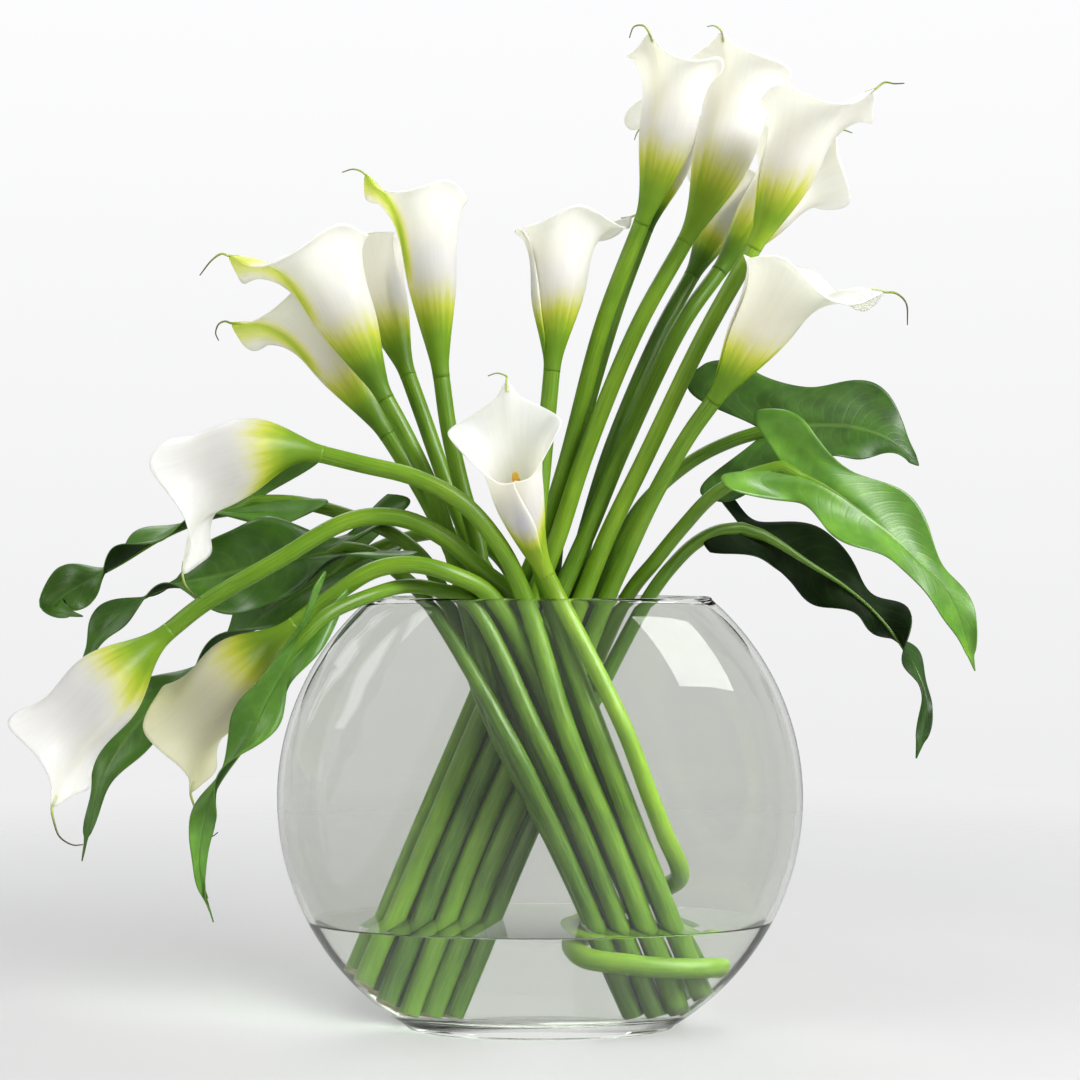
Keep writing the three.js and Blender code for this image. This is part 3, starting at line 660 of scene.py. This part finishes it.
def leaf_material(name, stops, vein_color, roughness, gloss):
    """A leaf's side: a pale midrib and fine side veins that sweep from it to the margin."""
    n = new_material(name)
    across, along = n.uv()
    side = n.math("ABSOLUTE", n.math("MULTIPLY_ADD", across, 2.0, -1.0))
    sweep = n.math("SUBTRACT", along, n.math("MULTIPLY", n.math("POWER", side, 1.5), 0.16))
    wander = n.math("MULTIPLY", n.noise(n.place(), 40.0, 2.0), 0.03)
    phase = n.math("MULTIPLY", n.math("ADD", sweep, wander), 2 * math.pi * SIDE_VEINS)
    ridges = n.math("MULTIPLY_ADD", n.math("SINE", phase), 0.5, 0.5)
    small_ridges = n.math("MULTIPLY_ADD", n.math("SINE", n.math("MULTIPLY", phase, 4.0)), 0.5, 0.5)
    strong = n.math("MULTIPLY", n.math("POWER", ridges, 9.0), 0.24)
    veins = n.math("MULTIPLY_ADD", n.math("POWER", small_ridges, 3.0), 0.08, strong)
    veins = n.math("MULTIPLY", veins, n.math("SUBTRACT", 1.0, n.math("POWER", side, 4.0)))
    beside_rib = n.math("SUBTRACT", 1.0, n.math("MULTIPLY", side, 13.0))
    midrib = n.math("POWER", n.math("MAXIMUM", beside_rib, 0.0), 0.7)
    lines = n.math("MAXIMUM", veins, midrib)
    mottle = n.noise(n.place(), 55.0, 4.0)
    tone = n.math("ADD", n.attribute("tone"), n.math("MULTIPLY_ADD", mottle, 0.55, -0.275))
    n.set(Base_Color=n.mix(n.math("MULTIPLY", lines, 0.2), n.ramp(tone, stops), vein_color))
    n.set(Roughness=n.math("MULTIPLY_ADD", mottle, 0.12, roughness), Specular_IOR_Level=gloss)
    n.set(Subsurface_Weight=0.08, Subsurface_Scale=0.003)
    n.bump(n.math("MULTIPLY_ADD", mottle, 0.15, n.math("MULTIPLY", lines, -1.0)), 0.35, 0.0008)
    return n.owner


def clear_material(name, ior, color, streaks):
    """Clear glass or water that lets lamps' light through, with a barely uneven surface."""
    n = new_material(name)
    n.set(Base_Color=rgba(color), Roughness=0.0, IOR=ior, Transmission_Weight=1.0)
    n.bump(n.noise(n.place(), streaks, 2.0), 0.02, 0.001)
    n.turn_clear(n.new("ShaderNodeLightPath").outputs["Is Shadow Ray"], (0.88, 0.9, 0.88))
    return n.owner


# ---------------------------------------------------------------- vase and water
def outer_wall(z):
    """The outside's half-width and half-depth at a height."""
    width = math.sqrt(VASE_RADIUS**2 - (z - VASE_CENTRE) ** 2)
    return width, VASE_FLATNESS * width, z


def inner_wall(z, into_glass=0.0):
    """The inside's half-width and half-depth at a height, or a little deeper in the glass."""
    width = math.sqrt((VASE_RADIUS - GLASS_WALL) ** 2 - (z - VASE_CENTRE) ** 2)
    return width + into_glass, outer_wall(z)[1] - GLASS_WALL + into_glass, z


def arc_heights(low, high, radius, count):
    """Heights evenly spaced along the vase's outline."""
    ends = [math.asin((z - VASE_CENTRE) / radius) for z in (low, high)]
    return VASE_CENTRE + radius * np.sin(np.linspace(*ends, count))


def ellipse_rings(profile, sides):
    """Rings from rows of half-width, half-depth and height."""
    angles = np.linspace(0, 2 * math.pi, sides, endpoint=False)
    return np.array([[(w * math.cos(a), d * math.sin(a), z) for a in angles] for w, d, z in profile])


def closed_rings(profile):
    """A body skinned over the profile's rings, closed by a disc at each end."""
    rings = ellipse_rings(profile, VASE_SIDES)
    skin = grid_faces(len(rings), VASE_SIDES, wrap=True)
    shape = Shape()
    shape.add(rings, np.zeros((rings[..., 0].size, 2)), skin + ring_ends(len(rings), VASE_SIDES))
    return shape


def make_vase(material):
    """One skin: from the foot up the outside, over the round lip and down the inside to its floor."""
    half_wall = GLASS_WALL / 2
    top = VASE_HEIGHT - half_wall
    outer = [outer_wall(z) for z in arc_heights(FOOT_EDGE, top, VASE_RADIUS, 60)]
    foot = []
    for a in np.linspace(0, math.pi / 2, 5)[:-1]:
        wide, deep = (half - inset * (1 - math.sin(a)) for half, inset in zip(outer[0], FOOT_INSETS))
        foot.append((wide, deep, FOOT_EDGE * (1 - math.cos(a))))
    lip = []
    for a in np.linspace(0, math.pi, 9)[1:-1]:
        out = half_wall * math.cos(a) - half_wall
        lip.append((outer[-1][0] + out, outer[-1][1] + out, top + half_wall * math.sin(a)))
    floor_corner = GLASS_FLOOR + INNER_CORNER_RISE
    inner = [inner_wall(z) for z in arc_heights(floor_corner, top, VASE_RADIUS - GLASS_WALL, 60)[::-1]]
    wide, deep, _ = inner[-1]
    bowl = []
    for part in (0.35, 0.7, 1.0):
        height = GLASS_FLOOR + INNER_CORNER_RISE * (1 - part) ** 2
        bowl.append((wide - INNER_CORNER * part, deep - INNER_CORNER * part, height))
    piece = new_piece("vase_glass", closed_rings(foot + outer + lip + inner + bowl), [material])
    stands_for(piece, ["vase_base", "vase_front", "vase_back"])


def make_water(material):
    """Fills the vase a hair into the glass, so that no film of air shows, and climbs its wall."""
    heights = arc_heights(GLASS_FLOOR - WATER_INTO_GLASS, WATER_LEVEL + WATER_CLIMB,
                          VASE_RADIUS - GLASS_WALL, 40)
    wall = [inner_wall(z, WATER_INTO_GLASS) for z in heights]
    wide, deep, _ = wall[-1]
    surface = [(wide - away, deep - away, WATER_LEVEL + rise) for away, rise in MENISCUS]
    piece = new_piece("water_body", closed_rings(wall + surface), [material])
    stands_for(piece, ["water"])


# ---------------------------------------------------------------- stems
def foot_height(x, y):
    """How high a stem's cut end stands, on the vase's rounded wall or its floor."""
    room = VASE_RADIUS - GLASS_WALL - STEM_FOOT_RADIUS - STEM_TO_GLASS
    room_deep = VASE_FLATNESS * VASE_RADIUS - GLASS_WALL - STEM_FOOT_RADIUS - STEM_TO_GLASS
    wall = VASE_CENTRE - room * math.sqrt(1 - (x / room) ** 2 - (y / room_deep) ** 2)
    return max(wall, GLASS_FLOOR + STEM_TO_FLOOR)


def bundle_points(plant):
    """Where a stem runs in its bundle, from its foot to below the vase's mouth."""
    points = []
    for *sides, height in BUNDLES[plant["bundle"]]:
        x, y = (first + per_column * plant["column"] + per_row * plant["row"]
                for first, per_column, per_row in sides)
        points.append((x, y, foot_height(x, y) if height is AT_FOOT else height))
    return points


def stem_line(plant, count=STEM_STEPS):
    lower = WRAPPING_STEM if plant.get("wrap") else bundle_points(plant)
    return curve_through([*lower, *plant["path"]], count)


def make_stem(number, flower, materials):
    line = stem_line(flower, WOUND_STEM_STEPS if flower.get("wrap") else STEM_STEPS)
    part = np.linspace(0, 1, len(line))
    radii = STEM_FOOT_RADIUS + (STEM_NECK_RADIUS - STEM_FOOT_RADIUS) * smooth(part, 0.25, 0.85)
    shape = Shape()
    shape.add_tube(line, radii, sides=24, end_slot=1)
    piece = new_piece(f"flower_stem_{number:02d}", shape, materials, {"tone": flower["tone"]})
    stands_for(piece, [f"stem_{number:02d}"])


# ---------------------------------------------------------------- flowers
def flower_line(flower):
    """The line up a flower's middle, which leaves the stem straight and bends, and its frame."""
    count = 160
    stem = stem_line(flower)
    height = SPATHE_LENGTH * flower["length"]
    turn = unit(stem[-1] - stem[-2]) * 0.4 * height
    end = unit(np.array(flower["axis"], float)) * 0.6 * height + turn
    t = np.linspace(0, 1, count)[:, None]
    line = evenly(stem[-1] + 2 * t * (1 - t) * turn + t * t * end, count)
    up = unit(np.gradient(line, axis=0))
    side = unit(np.cross(up, np.array(flower["tip"], float)))
    return line, np.cross(side, up), side, up


def bend_onto(flower, points):
    """Moves points of the straight flower, z up its middle and x towards its tip, onto its line."""
    line, *frame_there = flower_line(flower)
    height = SPATHE_LENGTH * flower["length"]
    up_to = np.clip(points[..., 2], 0, height)
    place = np.clip(points[..., 2] / height, 0, 1) * (len(line) - 1)
    moved = read_off(line, place)
    for direction, amount in zip(frame_there, (points[..., 0], points[..., 1], points[..., 2] - up_to)):
        moved = moved + read_off(direction, place) * amount[..., None]
    return moved


def spathe_slope(flower, t, tipward, point):
    """How far from upright the spathe leans at each height: funnel, belly, flared mouth, lip."""
    front, sides, tip = (math.radians(a) for a in flower["flare"])
    shoulder = 0.5 if tip > sides else 0.78
    flare = front + (sides - front) * smooth(tipward, 0.0, 0.55)
    flare = flare + (tip - sides) * smooth(tipward, shoulder, 1.0)
    funnel = math.radians(FUNNEL_SLOPE) * smooth(t, 0.0, 0.13)
    funnel = funnel - math.radians(FUNNEL_EASE) * smooth(t, 0.4, 0.6)
    swell = np.sin(2 * math.pi * np.clip(1.25 * t - 0.12, 0, 1))
    belly = math.radians(flower["belly"]) * swell
    roll = math.radians(flower["roll"]) * smooth(t, 0.88, 1.0) * (1 - point)
    return funnel + belly + flare * smooth(t, 0.5, 1.0) ** 1.5 + roll


def spathe_grid(flower, rows, cols):
    """The straight spathe: points by row from base to rim and by column round from edge to edge."""
    t = np.linspace(0, 1, rows)[:, None]
    s = np.linspace(-1, 1, cols)[None]
    overlap = MARGIN_OVERLAP * smooth(t, 0.02, 0.22) * (1 - smooth(t, 0.45, 0.98))
    angle = s * (math.pi + overlap)
    tipward = (1 + np.cos(angle)) / 2
    point = 0.5 * bell(angle, 0.5) + 0.5 * bell(angle, 0.16)
    notch = flower["dip"] * smooth(1 - tipward, 0.55, 1.0)
    length = SPATHE_LENGTH * flower["length"] * (RIM_HEIGHT - notch) + flower["reach"] * point
    slope = spathe_slope(flower, t, tipward, point)
    step = length / (rows - 1)
    out, height = (np.cumsum(part * step, axis=0) - part[:1] * step
                   for part in (np.sin(slope), np.cos(slope)))
    spiral = 1 + MARGIN_LIFT * s * smooth(t, 0.02, 0.2)
    ripple = 1 + RIM_RIPPLE * np.sin(3 * angle + flower["reach"]) * t**6
    radius = (STEM_NECK_RADIUS - SPATHE_INSET + out * flower["open"]) * spiral * ripple
    points = np.stack([radius * np.cos(angle), radius * np.sin(angle), height - SPATHE_SEAT], axis=-1)
    return points, angle, t + 0 * angle


def green_amount(flower, angle, t):
    """How green the spathe is: at its base, and down its midrib towards the tip."""
    base = 1 - smooth(t, 0.12, 0.62)
    midrib = flower["streak"] * bell(angle, 0.32) * smooth(t, 0.3, 0.6) * 0.8
    return np.clip(np.maximum(base, midrib), 0, 1)


def make_spathe(number, flower, materials):
    rows, cols = 56, 97
    points, angle, t = spathe_grid(flower, rows, cols)
    placed = bend_onto(flower, points)
    shape = Shape()
    shape.add(placed, np.stack([angle / (2 * math.pi) + 0.5, t], axis=-1), grid_faces(rows, cols))
    green = green_amount(flower, angle, t).ravel()
    shades = {"green": green, "tone": flower["tone"], "dull": flower["dull"]}
    piece = new_piece(f"flower_spathe_{number:02d}", shape, materials, shades, crease=180)
    thicken(piece, SPATHE_THICKNESS)
    add_tail(piece, number, flower, placed[-1, cols // 2], placed[-4, cols // 2], materials)
    stands_for(piece, [f"spathe_{number:02d}"])


def add_tail(piece, number, flower, tip, before, materials):
    """Joins the curled thread onto the spathe's tip; it starts a little before it."""
    line = curve_through([before, tip, *(tip + np.array(step, float) for step in flower["tail"])], 40)
    radii = TAIL_RADIUS - TAIL_TAPER * np.linspace(0, 1, len(line)) ** 0.7
    shape = Shape()
    shape.add_tube(line, radii, sides=10, slot=1)
    join(piece, new_piece(f"tail_{number:02d}", shape, materials, {"green": 0.3}))


def make_spadix(number, flower, material):
    """A finger of tiny florets: bumps in crossing spirals on a tapered rod."""
    rows, cols = 90, 40
    length = SPATHE_LENGTH * flower["length"]
    part = np.linspace(0, 1, rows)[:, None]
    angle = np.linspace(0, 2 * math.pi, cols, endpoint=False)[None]
    height = (SPADIX_END - SPADIX_START) * length * part
    rod = SPADIX_RADIUS * (1 - 0.25 * part)
    rod = rod * np.sqrt(np.clip(1 - part**9, 0, 1)) * np.sqrt(smooth(part, -0.02, 0.04))
    florets = np.abs(np.cos(4 * angle + height * 0.9) * np.cos(4 * angle - height * 0.9))
    radius = rod + FLORET_HEIGHT * florets * (rod > 1)
    points = np.stack([radius * np.cos(angle), radius * np.sin(angle),
                       SPADIX_START * length + height + 0 * angle], axis=-1)
    uvs = np.stack(np.broadcast_arrays(angle / (2 * math.pi), part), axis=-1)
    shape = Shape()
    shape.add(bend_onto(flower, points), uvs, grid_faces(rows, cols, wrap=True) + ring_ends(rows, cols))
    piece = new_piece(f"flower_spadix_{number:02d}", shape, [material], crease=180)
    stands_for(piece, [f"spadix_{number:02d}"])


# ---------------------------------------------------------------- leaves
def blade_middle(leaf, part, across):
    """Where each point of the flat blade lies along its midrib, and the directions there.

    The lobes beside the petiole are rows drawn back past the blade's base.
    """
    line = curve_through([leaf["path"][-1], *leaf["blade"]], 200)
    length = np.linalg.norm(np.diff(line, axis=0), axis=1).sum()
    rounding = 1.35 * np.abs(across) ** 1.3 * (1 - 0.65 * np.abs(across) ** 3)
    along = part - leaf["lobe"] * rounding * (1 - part) ** 3
    place = np.clip(along, 0, 1) * (len(line) - 1)
    tangent = unit(read_off(unit(np.gradient(line, axis=0)), place))
    middle = read_off(line, place) + tangent * (np.minimum(along, 0) * length)[..., None]
    base_face, tip_face = (np.array(f, float) for f in leaf["face"])
    face = base_face + (tip_face - base_face) * part[..., None]
    side = unit(np.cross(tangent, face + 0 * tangent))
    return middle, side, np.cross(side, tangent)


def blade_grid(leaf, rows, cols):
    """The blade's points by row from base to tip and by column across, with its lobes and waves."""
    part = np.linspace(0, 1, rows)[:, None]
    across = np.linspace(-1, 1, cols)[None]
    middle, flat_side, flat_normal = blade_middle(leaf, part, across)
    circle = 2 * math.pi
    left_right = np.sign(across)

    most, turns, start = leaf["twist"]
    twist = math.radians(most) * np.sin(circle * (turns * part + start)) * smooth(part, 0.0, 0.3)
    cos, sin = np.cos(twist)[..., None], np.sin(twist)[..., None]
    side = flat_side * cos + flat_normal * sin
    normal = flat_normal * cos - flat_side * sin

    plain = leaf["width"] * np.clip(1 - part**1.9, 0, 1) ** 0.95 + 0.3
    depth, bumps, start = leaf["scallop"]
    phase = bumps * part + start + 0.06 * left_right
    width = plain * (1 + depth * np.cos(circle * phase))

    height, waves, start = leaf["wave"]
    phase = waves * part + start + 0.18 * left_right + 0.12 * np.sin(5 * part + 4 * start)
    wave = height * np.abs(across) ** 1.9 * np.sin(circle * phase)
    wave = wave * np.sin(math.pi * np.clip(0.9 * part + 0.15, 0, 1)) ** 0.5
    cup = LEAF_CUP * plain * across**2
    crease = MIDRIB_CREASE * bell(across * 9) * (1 - part)
    points = middle + side * (width * across)[..., None] + normal * (cup + wave - crease)[..., None]
    return points, normal


def make_leaf(number, leaf, materials):
    rows, cols = 90, 41
    points, normal = blade_grid(leaf, rows, cols)
    across, along = np.meshgrid(np.linspace(0, 1, cols), np.linspace(0, 1, rows))
    shape = Shape()
    shape.add(points, np.stack([across, along], axis=-1), grid_faces(rows, cols))
    piece = new_piece(f"leaf_blade_{number:02d}", shape, materials, {"tone": leaf["tone"]}, crease=180)
    thicken(piece, LEAF_THICKNESS, back_slot=1)
    add_petiole(piece, number, leaf, points[:, cols // 2], normal[:, cols // 2], materials)
    stands_for(piece, [f"leaf_{number:02d}"])


def add_petiole(piece, number, leaf, middle, normal, materials):
    """Joins the stalk, which runs on under the blade's middle as its tapering midrib."""
    stalk = stem_line(leaf)
    narrowing = smooth(np.linspace(0, 1, len(stalk)), 0.3, 0.95)
    radii = PETIOLE_FOOT_RADIUS + (PETIOLE_TOP_RADIUS - PETIOLE_FOOT_RADIUS) * narrowing
    count = 30
    rows = np.linspace(6, len(middle) - 8, count).astype(int)
    tapering = (1 - np.linspace(0.05, 1, count)) ** 4
    rib_radii = (PETIOLE_TOP_RADIUS - RIB_TIP_RADIUS) * tapering + RIB_TIP_RADIUS
    rib = middle[rows] - normal[rows] * (rib_radii * 0.7)[:, None]
    shape = Shape()
    shape.add_tube(np.vstack([stalk, rib]), np.concatenate([radii, rib_radii]), slot=2, end_slot=3)
    shades = {"tone": 0.3 + 0.4 * leaf["tone"]}
    join(piece, new_piece(f"petiole_{number:02d}", shape, materials, shades))


# ---------------------------------------------------------------- stage
def make_floor():
    """A pale disc that fades into the background before its edge."""
    n = new_material("studio_floor")
    grain = n.noise(n.place(), 3.0, 2.0)
    n.set(Base_Color=n.ramp(grain, [(0.3, 0xCFCFCF), (0.7, 0xD3D3D3)]), Roughness=0.6)
    n.set(Specular_IOR_Level=0.2)
    x, y, _ = n.split(n.place())
    away_squared = n.math("ADD", n.math("POWER", x, 2.0), n.math("POWER", y, 2.0))
    n.turn_clear(n.map_range(n.math("POWER", away_squared, 0.5), *FLOOR_FADE))
    sides = 96
    rings = ellipse_rings([(r, r, -FLOOR_SINK) for r in FLOOR_RINGS], sides)
    faces = grid_faces(len(FLOOR_RINGS), sides, wrap=True) + [tuple(range(sides))[::-1]]
    shape = Shape()
    shape.add(rings, np.zeros((len(FLOOR_RINGS) * sides, 2)), faces)
    floor = new_piece("floor", shape, [n.owner])


def make_world():
    """Near-white above, a little greyer low down; dimmer as light on things and in reflections."""
    world = bpy.data.worlds.new("studio")
    bpy.context.scene.world = world
    n = Nodes(world, shader="Background")
    height = n.split(n.new("ShaderNodeTexCoord").outputs["Generated"])[2]
    shades = [(position, (shade, shade, min(1.0, shade * 1.01))) for position, shade in SKY_SHADES]
    ray = n.new("ShaderNodeLightPath").outputs
    mirrored = n.math("GREATER_THAN", ray["Is Glossy Ray"], ray["Is Transmission Ray"])
    scattered = n.math("MINIMUM", ray["Diffuse Depth"], 1.0)
    strength = n.mix_levels(mirrored, 1.0, SKY_IN_REFLECTIONS)
    strength = n.mix_levels(scattered, strength, SKY_ON_PLANTS)
    n.set(Color=n.ramp(n.map_range(height, -0.3, 0.3), shades), Strength=strength)


def make_lamp(name, place, target, size, power):
    """A rectangular lamp that faces its target."""
    data = bpy.data.lights.new(name, "AREA")
    data.shape = "RECTANGLE"
    data.size, data.size_y = size
    data.energy = power
    lamp = bpy.data.objects.new(name, data)
    lamp.location = place
    lamp.rotation_euler = (Vector(target) - Vector(place)).to_track_quat("-Z", "Y").to_euler()
    bpy.context.scene.collection.objects.link(lamp)
    return lamp


def make_lamps():
    """A window at the upper right, whose mirror image has a strength of its own, and two fills."""
    window = dict(place=(1.28, -0.97, 1.25), target=(0.05, 0.0, 0.3), size=(0.9, 0.8))
    make_lamp("window", **window, power=37).visible_glossy = False
    make_lamp("window_glint", **window, power=50).visible_diffuse = False
    middle = (0.0, 0.0, 0.35)
    make_lamp("left_fill", (-1.6, -0.5, 1.2), middle, size=(1.4, 1.4), power=12)
    make_lamp("back_top", (-0.2, 1.4, 1.7), middle, size=(1.6, 1.0), power=16)


def make_camera():
    """Level and square to the vase, at the height of the arrangement's middle."""
    data = bpy.data.cameras.new("camera")
    data.lens = 62.17
    data.sensor_width = 36.0
    data.clip_end = 20.0
    camera = bpy.data.objects.new("camera", data)
    camera.location = (0.0, -1.25, 0.326)
    camera.rotation_euler = (math.pi / 2, 0, 0)
    bpy.context.scene.collection.objects.link(camera)
    bpy.context.scene.camera = camera


# ---------------------------------------------------------------- the whole scene
stem_materials = [stem_material(), cut_material()]
spathe_materials = [spathe_material(), tail_material()]
pollen = spadix_material()
leaf_top = [(0.0, 0x86C03C), (0.35, 0x588A2C), (0.75, 0x2C5016), (1.0, 0x18320D)]
# Undersides: their own green, darkened down to near black as painted shade.
leaf_underside_painted_shade = [(0.0, 0x42682A), (0.5, 0x1F3810), (1.0, 0x071003)]
leaf_materials = [
    leaf_material("leaf_top", leaf_top, 0x9CBF62, 0.32, 0.45),
    leaf_material("leaf_underside_painted_shade", leaf_underside_painted_shade, 0x4C6B34, 0.6, 0.1),
    *stem_materials,
]

for index, differences in enumerate(FLOWERS, start=1):
    flower = USUAL_FLOWER | differences
    make_stem(index, flower, stem_materials)
    make_spathe(index, flower, spathe_materials)
    make_spadix(index, flower, pollen)

for index, leaf in enumerate(LEAVES, start=1):
    make_leaf(index, leaf, leaf_materials)

make_vase(clear_material("vase_clear_glass", 1.47, (0.81, 0.82, 0.79), 18.0))
make_water(clear_material("clear_water", 1.333, (0.96, 0.98, 0.96), 30.0))

make_floor()
make_world()
make_lamps()
make_camera()
bpy.context.scene.view_settings.view_transform = "Standard"
